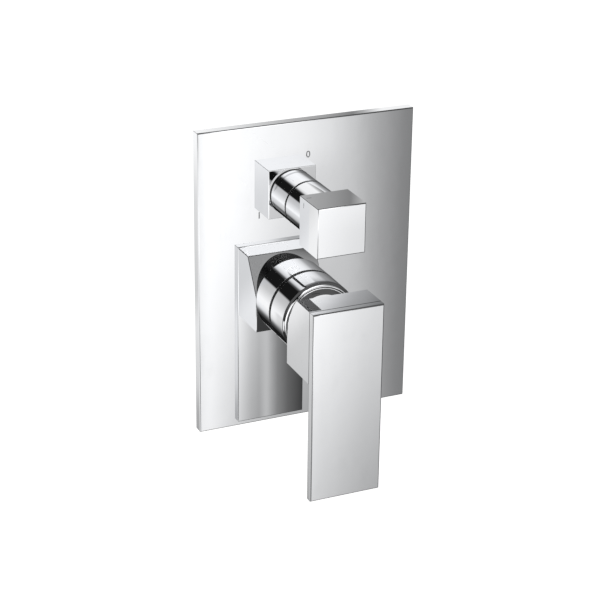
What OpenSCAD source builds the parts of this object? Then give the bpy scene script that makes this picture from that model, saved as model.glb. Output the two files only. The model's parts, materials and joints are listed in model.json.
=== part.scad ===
// Trim set for a tub valve set in the wall: a tall wall plate with a raised bar, a mixer lever
// that lifts for flow and swivels for temperature, and a square knob that turns a diverter.
// Drawn in millimetres. Inside the modules x is right, y is up and z is outward from the wall.
// on_wall() then stands the work up: +X right, +Y into the wall, +Z up, origin on the wall plane
// at the middle of the plate.

/* [Wall plate] */
// Width of the wall plate
plate_w = 145; // [130:1:180]
// Height of the wall plate
plate_h = 200; // [195:1:240]
// Distance from the wall to the plate's front face
plate_depth = 7; // [6:0.5:10]
// Thickness of the plate's front skin
plate_skin = 2.5; // [1.5:0.1:3]
// Thickness of the plate's folded rim
rim_t = 2; // [1:0.1:3]
// Chamfer along the plate's front edges
plate_edge = 0.5; // [0.2:0.1:1]
// Width of the foam gasket inside the rim
gasket_w = 6; // [4:0.5:8]

/* [Mounting frame] */
// Width of the hidden mounting frame
frame_w = 110; // [106:1:114]
// Height of the hidden mounting frame
frame_h = 152; // [148:1:170]
// Thickness of the mounting frame
frame_t = 2; // [1.5:0.1:3]
// Distance between the wall screw slots, across
slot_pitch_x = 92; // [86:1:96]
// Distance between the wall screw slots, up
slot_pitch_z = 134; // [128:1:138]
// Width of a wall screw slot
slot_w = 5.2; // [4.2:0.1:6]
// Length of a wall screw slot, end to end
slot_l = 9; // [8:0.5:12]
// Distance between the plate's push-in posts, across
post_pitch_x = 92; // [88:1:96]
// Distance between the plate's push-in posts, up
post_pitch_z = 96; // [90:1:110]
// Radius of a push-in post
post_r = 2.5; // [2:0.1:3]
// Rubber wall of a post's grommet
grommet_wall = 1.9; // [1.5:0.1:2.5]

/* [Mixer] */
// Mixer axis, to the right of the plate's middle
mixer_x = -26; // [-30:0.5:-22]
// Mixer axis, above the plate's middle
mixer_z = 2.9; // [0:0.1:6]
// Width shared by the raised bar, the mixer flange and the lever
lever_w = 45; // [44:0.5:48]
// Thickness of the raised bar
bar_t = 5.5; // [3:0.5:8]
// Height of the mixer flange at its full front
flange_h = 29.1; // [24:0.1:34]
// Slope of the flange's cut-back upper half, from upright
flange_slope = 31.7; // [20:0.1:36]
// Thinnest wall of the square flange, beside its round hole
flange_wall = 1.25; // [1:0.05:2]
// Wall of the black collar between the housing and the flange
collar_wall = 2.15; // [1.5:0.05:2.5]
// Length of collar that shows between the flange and the sleeve
collar_show = 3.5; // [2:0.1:6]
// Radius of the round sleeve and dome
dome_r = 24; // [23.6:0.1:26]
// Length of the rear sleeve
sleeve_l = 20.4; // [17:0.1:26]
// Length of the front dome
dome_l = 20.3; // [19:0.1:22]
// How far the dome's wall draws in towards its front
dome_draw = 0.8; // [0.4:0.1:1]
// Wall of the dome
dome_wall = 3; // [2.8:0.1:3.5]
// Rounding of the dome's front edge
dome_fillet = 1.9; // [0.8:0.1:2]
// Length of the ring that lines the dome's mouth
mouth_ring_l = 3; // [2:0.1:4]
// Width of that ring
mouth_ring_w = 1.15; // [0.9:0.05:1.5]
// Wall of the brass housing around its cartridge
housing_wall = 1.45; // [1.2:0.05:2]
// Step from the housing down to its spigot behind the wall plane
spigot_step = 2; // [1:0.1:3]
// Length of both housings' spigots
spigot_l = 12; // [8:1:20]
// Length of the mixer cartridge
cartridge_l = 36; // [34:0.5:44]
// Distance that the lever's finger reaches behind the lift pivot
finger_reach = 11.5; // [10.5:0.1:12]

/* [Lever] */
// Depth of the square lever block
block_d = 31.4; // [24:0.1:40]
// Gap between the dome's front face and the block
block_gap = 2.3; // [1.5:0.1:4]
// Radius of the round scoop at the back of the block
scoop_r = 45; // [38:1:60]
// How far the scoop reaches into the block's top
scoop_rise = 13; // [9:0.5:14]
// Length of the lever blade
blade_l = 120; // [90:1:122]
// Thickness of the lever blade
blade_t = 4.8; // [3.5:0.1:8]
// Chamfer along the blade's front edges
blade_edge = 1; // [0.3:0.1:1.5]
// Distance from the lift pivot to the dome's front face
pivot_back = 9.5; // [9:0.1:10]
// Gap between the ball cap and the mouth that it fills
ball_gap = 0.4; // [0.3:0.05:0.6]
// Width of the square lever stem
stem_w = 6.8; // [6:0.1:7]
// Radius of the lift pivot pin
pin_r = 1.5; // [1.2:0.1:2]
// Radius of the lever's grub screw
lever_screw_r = 2.5; // [2:0.1:3]

/* [Diverter] */
// Diverter axis, to the right of the plate's middle
diverter_x = -20; // [-26:0.5:10]
// Diverter axis, above the plate's middle
diverter_z = 63.5; // [61:0.5:68]
// Width of the diverter's square flange
diverter_flange_w = 31; // [30:0.5:34]
// Height of the diverter's square flange
diverter_flange_h = 22.2; // [16:0.1:30]
// Radius of the diverter's round sleeve and neck
diverter_r = 14.8; // [14:0.1:15.2]
// Length of the fixed rear sleeve
diverter_sleeve_l = 22.3; // [20:0.1:28]
// Length of the turning neck
diverter_neck_l = 22; // [16:0.1:28]
// Width of the square knob
knob_w = 30.6; // [29:0.1:34]
// Depth of the square knob
knob_d = 25.3; // [18:0.1:32]
// Chamfer along the knob's front edges
knob_edge = 0.4; // [0.2:0.1:1]
// Wall of the fixed sleeve around the brass housing
diverter_sleeve_wall = 3.75; // [3:0.05:4.2]
// Wall of the diverter's brass housing around its cartridge
diverter_housing_wall = 1.95; // [1.5:0.05:2.4]
// Step from that housing down to its spigot behind the wall plane
diverter_spigot_step = 1.5; // [1:0.1:2.5]
// Length of the diverter cartridge
diverter_cartridge_l = 24; // [20:0.5:30]
// Radius of the diverter spindle
spindle_r = 4; // [3:0.1:4.4]
// Radius of the knob's grub screw
knob_screw_r = 2; // [1.5:0.1:2.5]

/* [Fits] */
// Radial gap of pieces that seat in each other
seat_gap = 0.05; // [0.03:0.01:0.1]
// Radial gap of shafts that turn in their holes
turn_gap = 0.05; // [0.03:0.01:0.1]
// Gap between faces that pass each other
pass_gap = 0.3; // [0.2:0.05:0.5]
// Thickness of the flat rubber seals
seal_t = 0.6; // [0.4:0.1:1]
// Inset of the flat seals from the edges that they lie under
seal_inset = 0.6; // [0.4:0.1:1]

/* [Hidden] */
$fn = 96;
cut = 0.5;              // how far a cutter runs past the face that it opens

// Radii, each from the piece around it
collar_r = lever_w / 2 - flange_wall - seat_gap;
housing_r = collar_r - collar_wall - seat_gap;
cartridge_r = housing_r - housing_wall - seat_gap;
spigot_r = housing_r - spigot_step;
sleeve_cavity_r = dome_r - 2;
dome_front_r = dome_r - dome_draw;
cavity_r = dome_r - dome_wall;                // hollow of the dome
mouth_r = cavity_r - seat_gap - mouth_ring_w;
diverter_housing_r = diverter_r - diverter_sleeve_wall - seat_gap;
diverter_cartridge_r = diverter_housing_r - diverter_housing_wall - seat_gap;
diverter_spigot_r = diverter_housing_r - diverter_spigot_step;

// Levels along the mixer axis, outward from the wall plane
bar_front = plate_depth + bar_t;
flange_back = bar_front + seal_t;
flange_front = flange_back + flange_h;
sleeve_back = flange_front + collar_show;
sleeve_front = sleeve_back + sleeve_l;
ring_t = 0.6;           // black ring between the sleeve and the dome
dome_back = sleeve_front + ring_t;
dome_front = dome_back + dome_l;
pivot_level = dome_front - pivot_back;
block_back = dome_front + block_gap;
block_front = block_back + block_d;
blade_front = block_front + blade_t;

// Inside the mixer, levels counted from the lift pivot
lift_most = 18;                               // degrees that the lever lifts
housing_front = pivot_level - 10.3;
nut_l = 4.5;
shoulder = housing_front - 0.2 - nut_l;       // where the nut presses on the cartridge
neck_front = pivot_level + 4;
neck_lip_t = 1;
cartridge_back = neck_front - cartridge_l;
disc_t = 4;
cavity_front = shoulder - 2;                  // wide hollow in which the disc slides
finger_r = 2;
finger_ball_r = 2.8;
holder_front = pivot_level - finger_reach + 1.5;
holder_bore_back = pivot_level - finger_reach - finger_ball_r - 1;
holder_foot = cavity_front - pass_gap;
holder_foot_t = 2.2;
slide_disc_front = holder_foot - holder_foot_t;
fixed_disc_front = slide_disc_front - disc_t - 0.1;
fixed_disc_back = fixed_disc_front - disc_t;
port_seal_t = 0.8;
carrier_front = neck_front - neck_lip_t - 0.2;
carrier_back = pivot_level - 8;
cheek_back = holder_foot + 0.5;

// Cartridges come in sizes, and a smaller one has all its radii smaller
family = cartridge_r / 17.5;
neck_r = 13 * family;                         // neck of the cartridge
neck_bore_r = 11 * family;
neck_lip_r = 9.8 * family;
fixed_disc_r = 14 * family;
disc_cavity_r = 14.6 * family;
slide_disc_r = 10 * family;
cheek_gap = 5.4 * family;                     // half distance between the carrier's cheeks
port_r = 2.4 * family;
port_seal_w = 1.1 * family;
ports = family * [[4.6, -3.2], [-4.6, -3.2], [0, 2.6]];
carrier_r = neck_bore_r - turn_gap;

// Lever and dome
eye_r = 5;                                    // eye of the lever stem
dome_spigot_wall = 1.55;                      // dome's spigot in the sleeve
dome_spigot_l = 6;
sleeve_web_l = 10.3;                          // length of sleeve that grips the housing
ball_r = min(cavity_r - 0.5,
    sqrt(mouth_r * mouth_r + pow(pivot_back - mouth_ring_l, 2)) - ball_gap);
ball_wall = 1.5;
ball_back = 2.5;                              // how far the ball cap reaches behind the pivot
ball_front = block_back - 0.7;                // flat front of the ball cap
block_collar_r = 8;
stem_tip = block_back + 16.7;
screw_level = block_back + 9;                 // where the lever's grub screw sits
lever_screw_l = 10;
plug_r = lever_screw_r + 1;
plug_l = 3;

// Levels along the diverter axis
diverter_flange_back = plate_depth + seal_t;
diverter_flange_front = diverter_flange_back + diverter_flange_h;
base_ring_t = 0.8;
diverter_sleeve_back = diverter_flange_front + base_ring_t;
diverter_sleeve_front = diverter_sleeve_back + diverter_sleeve_l;
glide_t = 0.4;
diverter_neck_back = diverter_sleeve_front + glide_t + 0.2;
knob_back = diverter_neck_back + diverter_neck_l;
knob_front = knob_back + knob_d;
diverter_housing_front = diverter_sleeve_front - 9;
diverter_nut_l = 6;
diverter_cartridge_front = diverter_housing_front - diverter_nut_l;
diverter_socket_r = diverter_r - 2.4;  // hollow in the sleeve's front
diverter_spigot_l = 6;
spindle_foot_r = min(spindle_r + 1.5, diverter_cartridge_r - 2);
spindle_foot_t = 2.4;
spindle_tip = knob_back + 14.5;
diverter_cartridge_back = diverter_cartridge_front - diverter_cartridge_l;
diverter_base_t = 5;
diverter_disc_t = 3;
diverter_family = diverter_cartridge_r / 9;
diverter_disc_r = 7.4 * diverter_family;
diverter_port_ring_r = 4.2 * diverter_family;
diverter_port_r = 1.9 * diverter_family;
diverter_discs_back = diverter_cartridge_back + diverter_base_t;
diverter_foot_back = diverter_discs_back + 2 * diverter_disc_t + 0.2;
knob_screw_set = 8.5;                  // how far the grub screw sits in front of the neck
knob_screw_level = knob_back + knob_screw_set;
knob_screw_l = 8;

// Placing

module on_wall() {
    rotate([90, 0, 0]) children();
}

module on_mixer() {
    on_wall() translate([mixer_x, mixer_z, 0]) children();
}

module on_diverter() {
    on_wall() translate([diverter_x, diverter_z, 0]) children();
}

// Four copies at the corners of a rectangle
module at_corners(pitch_x, pitch_y) {
    for (sx = [-1, 1], sy = [-1, 1])
        translate([sx * pitch_x / 2, sy * pitch_y / 2, 0]) children();
}

// Shared shapes

// Tube between two levels
module tube(outer_r, inner_r, low, high) {
    translate([0, 0, low]) linear_extrude(high - low) difference() {
        circle(outer_r);
        circle(inner_r);
    }
}

// Solid disc between two levels
module disc(r, low, high) {
    translate([0, 0, low]) cylinder(r = r, h = high - low);
}

// Side view of a slab with its front edges cut at 45 degrees
function slab_side(width, thick, edge) = [
    [-width / 2, 0], [width / 2, 0], [width / 2, thick - edge],
    [width / 2 - edge, thick], [edge - width / 2, thick], [-width / 2, thick - edge]];

// Slab that stands on z = 0 with all four front edges chamfered
module slab(width, height, thick, edge) {
    intersection() {
        rotate([90, 0, 0]) linear_extrude(height, center = true)
            polygon(slab_side(width, thick, edge));
        rotate([90, 0, 90]) linear_extrude(width, center = true)
            polygon(slab_side(height, thick, edge));
    }
}

// Side view (y, z) pulled across the width
module across(width) {
    rotate([90, 0, 90]) linear_extrude(width, center = true) children();
}

// Points of an arc around a centre
function arc(centre, r, from, to, steps) = [
    for (i = [0:steps])
        let (a = from + (to - from) * i / steps) centre + r * [cos(a), sin(a)]];

// Flat seal under a square flange
module flange_seal(width, hole_r, level) {
    side = width - 2 * seal_inset;
    translate([0, 0, level]) linear_extrude(seal_t) difference() {
        square(side, center = true);
        circle(hole_r);
    }
}

// Wall plate and what fixes it

module wall_plate() {
    color("silver") on_wall() {
        difference() {
            slab(plate_w, plate_h, plate_depth, plate_edge);
            translate([0, 0, (plate_depth - plate_skin) / 2])
                cube([plate_w - 2 * rim_t, plate_h - 2 * rim_t, plate_depth - plate_skin + 0.002],
                    center = true);
            translate([mixer_x, mixer_z, 0]) disc(collar_r + seat_gap, -cut, plate_depth + cut);
            translate([diverter_x, diverter_z, 0])
                disc(diverter_housing_r + seat_gap, -cut, plate_depth + cut);
        }
        at_corners(post_pitch_x, post_pitch_z)
            disc(post_r, 0.5, plate_depth - plate_skin + 0.1);
    }
}

module plate_gasket() {
    inner_w = plate_w - 2 * rim_t;
    inner_h = plate_h - 2 * rim_t;
    color("dimgray") on_wall() linear_extrude(plate_depth - plate_skin) difference() {
        square([inner_w, inner_h], center = true);
        square([inner_w - 2 * gasket_w, inner_h - 2 * gasket_w], center = true);
    }
}

module frame_slot() {
    for (side = [-1, 1])
        translate([side * (slot_l - slot_w) / 2, 0]) circle(slot_w / 2);
    square([slot_l - slot_w, slot_w], center = true);
}

module mounting_frame() {
    color("lightsteelblue") on_wall() linear_extrude(frame_t) difference() {
        square([frame_w, frame_h], center = true);
        translate([mixer_x, mixer_z]) circle(housing_r + pass_gap);
        translate([diverter_x, diverter_z]) circle(diverter_housing_r + pass_gap);
        at_corners(slot_pitch_x, slot_pitch_z) frame_slot();
        at_corners(post_pitch_x, post_pitch_z) circle(post_r + grommet_wall + seat_gap);
    }
}

module frame_grommets() {
    outer_r = post_r + grommet_wall;
    color("black") on_wall() at_corners(post_pitch_x, post_pitch_z) {
        tube(outer_r, post_r + seat_gap, 0, frame_t);
        tube(outer_r + 1, post_r + seat_gap, frame_t, frame_t + 1);
    }
}

// Raised bar as long as the lever blade, with its top level with the flange's top
module raised_bar() {
    top = mixer_z + lever_w / 2;
    color("silver") on_wall() translate([0, 0, plate_depth]) difference() {
        translate([mixer_x, top - blade_l / 2, 0]) slab(lever_w, blade_l, bar_t, 0.3);
        translate([mixer_x, mixer_z, 0]) disc(collar_r + seat_gap, -cut, bar_t + cut);
    }
}

// Mixer, fixed pieces

module mixer_flange_gasket() {
    color("black") on_mixer() flange_seal(lever_w, collar_r + seat_gap, bar_front);
}

// Square flange whose upper half is cut back from the axis upward
module mixer_flange() {
    half = lever_w / 2;
    color("silver") on_mixer() translate([0, 0, flange_back]) difference() {
        across(lever_w) polygon([[-half, 0], [half, 0],
            [half, flange_h - half * tan(flange_slope)], [0, flange_h], [-half, flange_h]]);
        disc(collar_r + seat_gap, -cut, flange_h + cut);
    }
}

module at_ports() {
    for (place = ports) translate([place[0], place[1], 0]) children();
}

// Brass body with a spigot for the valve in the wall and three water channels
module mixer_housing() {
    color("goldenrod") on_mixer() difference() {
        union() {
            disc(spigot_r, -spigot_l, 1);
            disc(housing_r, 0, housing_front);
        }
        disc(cartridge_r + seat_gap, cartridge_back, housing_front + cut);
        at_ports() disc(port_r, -spigot_l - cut, cartridge_back + cut);
    }
}

module mixer_cartridge() {
    color("white") on_mixer() difference() {
        union() {
            disc(cartridge_r, cartridge_back, shoulder);
            disc(neck_r, shoulder - 1, neck_front);
        }
        at_ports() {
            disc(port_r, cartridge_back - cut, fixed_disc_back + cut);
            disc(port_r + port_seal_w + seat_gap, cartridge_back - cut,
                cartridge_back + port_seal_t);
        }
        disc(fixed_disc_r + seat_gap, fixed_disc_back, fixed_disc_front);
        disc(disc_cavity_r, fixed_disc_front - 0.01, cavity_front);
        disc(neck_bore_r, cavity_front - cut, neck_front - neck_lip_t);
        disc(neck_lip_r, cavity_front, neck_front + cut);
    }
}

module cartridge_seals() {
    color("black") on_mixer() at_ports()
        tube(port_r + port_seal_w, port_r + 0.2, cartridge_back, cartridge_back + port_seal_t);
}

// Ceramic disc that stays, with a hole over each channel
module fixed_disc() {
    color("ivory") on_mixer() difference() {
        disc(fixed_disc_r, fixed_disc_back, fixed_disc_front);
        at_ports() disc(port_r, fixed_disc_back - cut, fixed_disc_front + cut);
    }
}

module cartridge_nut() {
    color("goldenrod") on_mixer()
        tube(cartridge_r, neck_r + pass_gap, shoulder, shoulder + nut_l);
}

module mixer_collar() {
    color("black") on_mixer() tube(collar_r, housing_r + seat_gap, frame_t, sleeve_back);
}

module mixer_sleeve() {
    color("silver") on_mixer() difference() {
        disc(dome_r, sleeve_back, sleeve_front);
        disc(housing_r + seat_gap, sleeve_back - cut, sleeve_front + cut);
        disc(sleeve_cavity_r, sleeve_back + sleeve_web_l, sleeve_front + cut);
    }
}

module dome_ring() {
    color("black") on_mixer() tube(dome_r - 0.5, sleeve_cavity_r, sleeve_front, dome_back);
}

// Round front cap: a slightly drawn-in wall with a rounded front edge
module mixer_dome() {
    wall_top = dome_l - dome_fillet;
    outer_r = sleeve_cavity_r - seat_gap;
    swell = dome_r - dome_front_r;
    profile = concat(
        [[outer_r - dome_spigot_wall, -ring_t - dome_spigot_l],
            [outer_r, -ring_t - dome_spigot_l], [outer_r, 0]],
        [for (i = [0:6]) let (f = i / 6) [dome_r - swell * f * f, wall_top * f]],
        arc([dome_front_r - dome_fillet, wall_top], dome_fillet, 10, 90, 8),
        [[cavity_r, dome_l - 0.2], [cavity_r, 0], [outer_r - dome_spigot_wall, -0.2]]);
    color("silver") on_mixer() translate([0, 0, dome_back]) rotate_extrude() polygon(profile);
}

// Ring in the dome's mouth, rounded at the front
module mouth_ring() {
    outer_r = cavity_r - seat_gap;
    round_r = min(0.45, (outer_r - mouth_r) / 2 - 0.05);
    level = dome_l - 0.1;
    profile = concat(
        [[mouth_r, dome_l - mouth_ring_l], [outer_r, dome_l - mouth_ring_l]],
        arc([outer_r - round_r, level - round_r], round_r, 0, 90, 5),
        arc([mouth_r + round_r, level - round_r], round_r, 90, 180, 5));
    color("silver") on_mixer() translate([0, 0, dome_back]) rotate_extrude() polygon(profile);
}

// Mixer, pieces that swivel

// Turns in the cartridge's neck, holds the pivot pin and guides the disc holder
module cartridge_carrier() {
    slot_w = stem_w + 2 * pass_gap;
    slot_h = 2 * (finger_r + (pivot_level - carrier_back) * tan(lift_most) + 2.6);
    long = 4 * carrier_r;
    color("gainsboro") on_mixer() difference() {
        union() {
            disc(carrier_r, carrier_back, carrier_front);
            intersection() {
                disc(carrier_r, cheek_back, carrier_back + 1);
                for (side = [-1, 1]) translate([side * (cheek_gap + carrier_r), 0, carrier_back])
                    cube([2 * carrier_r, 2 * carrier_r, long], center = true);
            }
        }
        translate([0, 0, pivot_level]) cube([slot_w, slot_h, long], center = true);
        translate([0, 0, pivot_level]) rotate([0, 90, 0])
            cylinder(r = pin_r + seat_gap, h = long, center = true);
    }
}

module carrier_pin() {
    color("gray") on_mixer() translate([0, 0, pivot_level]) rotate([0, 90, 0])
        cylinder(r = pin_r, h = 2 * carrier_r - 0.6, center = true);
}

// Mixer, pieces that slide across the cartridge

module disc_holder() {
    side = 2 * (cheek_gap - pass_gap);
    color("white") on_mixer() difference() {
        union() {
            disc(slide_disc_r - 1, slide_disc_front, holder_foot);
            translate([-side / 2, -side / 2, slide_disc_front])
                cube([side, side, holder_front - slide_disc_front]);
        }
        disc(finger_ball_r + pass_gap, holder_bore_back, holder_front + cut);
    }
}

// Ceramic disc that slides, with a mixing hollow in its back
module sliding_disc() {
    color("ivory") on_mixer() difference() {
        disc(slide_disc_r, slide_disc_front - disc_t, slide_disc_front);
        intersection() {
            disc(slide_disc_r - 1.6, slide_disc_front - disc_t - cut,
                slide_disc_front - disc_t + 1.6);
            translate([-slide_disc_r, 0, slide_disc_front - disc_t - cut])
                cube([2 * slide_disc_r, slide_disc_r, disc_t]);
        }
    }
}

// Mixer, pieces that lift

module lever_stem() {
    finger_back = pivot_level - finger_reach;
    color("goldenrod") on_mixer() difference() {
        union() {
            translate([0, 0, pivot_level]) rotate([0, 90, 0])
                cylinder(r = eye_r, h = stem_w, center = true);
            translate([-stem_w / 2, -stem_w / 2, pivot_level])
                cube([stem_w, stem_w, stem_tip - pivot_level]);
            disc(finger_r, finger_back, pivot_level - eye_r / 2);
            translate([0, 0, finger_back]) sphere(finger_ball_r);
        }
        translate([0, 0, pivot_level]) rotate([0, 90, 0])
            cylinder(r = pin_r + turn_gap, h = 2 * stem_w, center = true);
    }
}

// Ball-shaped cap around the pivot, closed by a flat front that carries the block
module ball_cap() {
    hole_w = stem_w + 2 * seat_gap;
    color("dimgray") on_mixer() difference() {
        intersection() {
            translate([0, 0, pivot_level]) sphere(ball_r);
            disc(ball_r + 1, pivot_level - ball_back, ball_front);
        }
        intersection() {
            translate([0, 0, pivot_level]) sphere(ball_r - ball_wall);
            disc(ball_r + 1, pivot_level - ball_back - cut, ball_front - ball_wall);
        }
        translate([0, 0, ball_front])
            cube([hole_w, hole_w, 4 * ball_wall], center = true);
    }
}

// Side view of the block: square, with its upper back scooped away to let it lift
function block_side() =
    let (
        half = lever_w / 2,
        start = half - sqrt(2 * scoop_r * scoop_rise - scoop_rise * scoop_rise),
        centre = [start, block_back + scoop_r],
        turn = acos((scoop_r - scoop_rise) / scoop_r))
    concat(
        [[-half, block_front], [-half, block_back]],
        arc(centre, scoop_r, -90, turn - 90, 14),
        [[half, block_front]]);

module lever_block() {
    half = lever_w / 2;
    hole_w = stem_w + 2 * seat_gap;
    color("silver") on_mixer() difference() {
        union() {
            across(lever_w) polygon(block_side());
            disc(block_collar_r, ball_front, block_back + 2);
        }
        translate([0, 0, (stem_tip + ball_front) / 2])
            cube([hole_w, hole_w, stem_tip - ball_front + 2 * cut], center = true);
        translate([0, -half - cut, screw_level]) rotate([-90, 0, 0])
            cylinder(r = lever_screw_r + seat_gap, h = half + cut);
        translate([0, -half - cut, screw_level]) rotate([-90, 0, 0])
            cylinder(r = plug_r + seat_gap, h = plug_l + cut);
    }
}

module lever_blade() {
    color("silver") on_mixer() translate([0, (lever_w - blade_l) / 2, block_front])
        slab(lever_w, blade_l, blade_t, blade_edge);
}

module lever_set_screw() {
    color("gray") on_mixer() translate([0, -stem_w / 2, screw_level]) rotate([90, 0, 0])
        difference() {
            cylinder(r = lever_screw_r, h = lever_screw_l);
            translate([0, 0, lever_screw_l - 2.5])
                cylinder(r = lever_screw_r * 0.55, h = 2.5 + cut, $fn = 6);
        }
}

module lever_plug() {
    color("silver") on_mixer() translate([0, -lever_w / 2, screw_level]) rotate([-90, 0, 0])
        cylinder(r = plug_r, h = plug_l);
}

// Diverter, fixed pieces

module diverter_flange_gasket() {
    color("black") on_diverter()
        flange_seal(diverter_flange_w, diverter_housing_r + seat_gap, plate_depth);
}

module diverter_flange() {
    color("silver") on_diverter() translate([0, 0, diverter_flange_back]) difference() {
        slab(diverter_flange_w, diverter_flange_w, diverter_flange_h, 0.2);
        disc(diverter_housing_r + seat_gap, -cut, diverter_flange_h + cut);
    }
}

module at_diverter_ports() {
    for (i = [0:2]) rotate(90 + 120 * i) translate([diverter_port_ring_r, 0, 0]) children();
}

module diverter_housing() {
    color("goldenrod") on_diverter() difference() {
        union() {
            disc(diverter_spigot_r, -spigot_l, 1);
            disc(diverter_housing_r, 0, diverter_housing_front);
        }
        disc(diverter_cartridge_r + seat_gap, diverter_cartridge_back,
            diverter_housing_front + cut);
        at_diverter_ports()
            disc(diverter_port_r, -spigot_l - cut, diverter_cartridge_back + cut);
    }
}

module diverter_cartridge() {
    color("white") on_diverter() difference() {
        disc(diverter_cartridge_r, diverter_cartridge_back, diverter_cartridge_front);
        at_diverter_ports()
            disc(diverter_port_r, diverter_cartridge_back - cut, diverter_discs_back + cut);
        disc(diverter_disc_r + seat_gap, diverter_discs_back,
            diverter_foot_back + spindle_foot_t + 0.1);
        disc(spindle_r + turn_gap, diverter_discs_back, diverter_cartridge_front + cut);
    }
}

module diverter_fixed_disc() {
    color("ivory") on_diverter() difference() {
        disc(diverter_disc_r, diverter_discs_back, diverter_discs_back + diverter_disc_t);
        at_diverter_ports() disc(diverter_port_r, diverter_discs_back - cut,
            diverter_discs_back + diverter_disc_t + cut);
    }
}

module diverter_nut() {
    color("goldenrod") on_diverter() tube(diverter_cartridge_r, spindle_r + 1,
        diverter_cartridge_front, diverter_housing_front);
}

module diverter_base_ring() {
    color("black") on_diverter() tube(diverter_r - 0.2, diverter_housing_r + seat_gap,
        diverter_flange_front, diverter_sleeve_back);
}

module diverter_sleeve() {
    color("silver") on_diverter() difference() {
        disc(diverter_r, diverter_sleeve_back, diverter_sleeve_front);
        disc(diverter_housing_r + seat_gap, diverter_sleeve_back - cut,
            diverter_sleeve_front + cut);
        disc(diverter_socket_r, diverter_housing_front, diverter_sleeve_front + cut);
    }
}

module diverter_glide_ring() {
    color("black") on_diverter() tube(diverter_r - 0.5, diverter_socket_r,
        diverter_sleeve_front, diverter_sleeve_front + glide_t);
}

// Diverter, pieces that turn

module diverter_spindle() {
    color("goldenrod") on_diverter() {
        disc(spindle_r, diverter_foot_back, spindle_tip);
        disc(spindle_foot_r, diverter_foot_back, diverter_foot_back + spindle_foot_t);
    }
}

// Ceramic disc that turns with the spindle, with one open side
module diverter_turning_disc() {
    level = diverter_discs_back + diverter_disc_t + 0.1;
    color("ivory") on_diverter() difference() {
        disc(diverter_disc_r - 0.2, level, level + diverter_disc_t);
        translate([0, diverter_port_ring_r, 0])
            disc(diverter_port_r, level - cut, level + diverter_disc_t + cut);
    }
}

module diverter_neck() {
    color("silver") on_diverter() difference() {
        union() {
            disc(diverter_r, diverter_neck_back, knob_back);
            disc(diverter_socket_r - pass_gap, diverter_neck_back - diverter_spigot_l,
                diverter_neck_back + 1);
        }
        disc(spindle_r + seat_gap, diverter_neck_back - diverter_spigot_l - cut,
            knob_back + cut);
    }
}

module diverter_knob() {
    color("silver") on_diverter() difference() {
        translate([0, 0, knob_back]) slab(knob_w, knob_w, knob_d, knob_edge);
        disc(spindle_r + seat_gap, knob_back - cut, spindle_tip + 0.5);
        translate([0, -knob_w / 2 - cut, knob_screw_level]) rotate([-90, 0, 0])
            cylinder(r = knob_screw_r + seat_gap, h = knob_w / 2 + cut);
    }
}

module knob_set_screw() {
    color("gray") on_diverter() translate([0, -spindle_r, knob_screw_level]) rotate([90, 0, 0])
        difference() {
            cylinder(r = knob_screw_r, h = knob_screw_l);
            translate([0, 0, knob_screw_l - 2])
                cylinder(r = knob_screw_r * 0.55, h = 2 + cut, $fn = 6);
        }
}

wall_plate();
plate_gasket();
mounting_frame();
frame_grommets();
raised_bar();
mixer_flange_gasket();
mixer_flange();
mixer_housing();
mixer_cartridge();
cartridge_seals();
fixed_disc();
cartridge_nut();
mixer_collar();
mixer_sleeve();
dome_ring();
mixer_dome();
mouth_ring();
cartridge_carrier();
carrier_pin();
disc_holder();
sliding_disc();
lever_stem();
ball_cap();
lever_block();
lever_blade();
lever_set_screw();
lever_plug();
diverter_flange_gasket();
diverter_flange();
diverter_housing();
diverter_cartridge();
diverter_fixed_disc();
diverter_nut();
diverter_base_ring();
diverter_sleeve();
diverter_glide_ring();
diverter_spindle();
diverter_turning_disc();
diverter_neck();
diverter_knob();
knob_set_screw();
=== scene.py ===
# %% [markdown]
# # A tub valve trim set, dressed for a studio picture
# The trim is what a bather sees of a bath valve in the wall: a tall wall plate, a round hub with
# one flat mixer lever, and a square knob on a round neck that turns the diverter. Nearly all of it
# is chrome on brass, so this lesson is mostly about two things: soft edges that catch a line of
# light, and a studio that is worth reflecting.
#
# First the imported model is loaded. Each node comes in as an object at the origin, in metres, with
# its place in its mesh.

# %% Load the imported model
import bpy, bmesh, json, math
from mathutils import Matrix, Vector

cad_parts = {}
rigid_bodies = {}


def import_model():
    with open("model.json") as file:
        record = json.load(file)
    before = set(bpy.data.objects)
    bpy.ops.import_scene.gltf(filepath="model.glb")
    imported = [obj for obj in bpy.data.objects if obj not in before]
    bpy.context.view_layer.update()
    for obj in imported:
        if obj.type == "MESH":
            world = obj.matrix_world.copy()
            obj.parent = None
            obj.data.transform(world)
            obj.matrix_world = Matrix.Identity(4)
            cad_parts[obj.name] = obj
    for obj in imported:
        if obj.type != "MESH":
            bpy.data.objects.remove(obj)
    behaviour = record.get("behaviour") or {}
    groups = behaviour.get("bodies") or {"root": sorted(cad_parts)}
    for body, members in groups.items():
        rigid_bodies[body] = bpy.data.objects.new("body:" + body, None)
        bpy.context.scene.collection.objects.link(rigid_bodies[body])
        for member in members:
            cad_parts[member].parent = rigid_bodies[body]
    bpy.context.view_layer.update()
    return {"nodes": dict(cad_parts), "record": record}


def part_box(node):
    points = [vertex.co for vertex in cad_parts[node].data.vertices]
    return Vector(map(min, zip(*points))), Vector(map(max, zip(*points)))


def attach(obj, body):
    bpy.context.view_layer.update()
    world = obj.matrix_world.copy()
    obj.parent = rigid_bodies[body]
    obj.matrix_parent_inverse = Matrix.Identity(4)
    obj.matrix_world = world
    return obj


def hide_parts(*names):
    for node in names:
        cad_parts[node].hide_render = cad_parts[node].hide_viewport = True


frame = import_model()
nodes = frame["nodes"]

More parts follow.
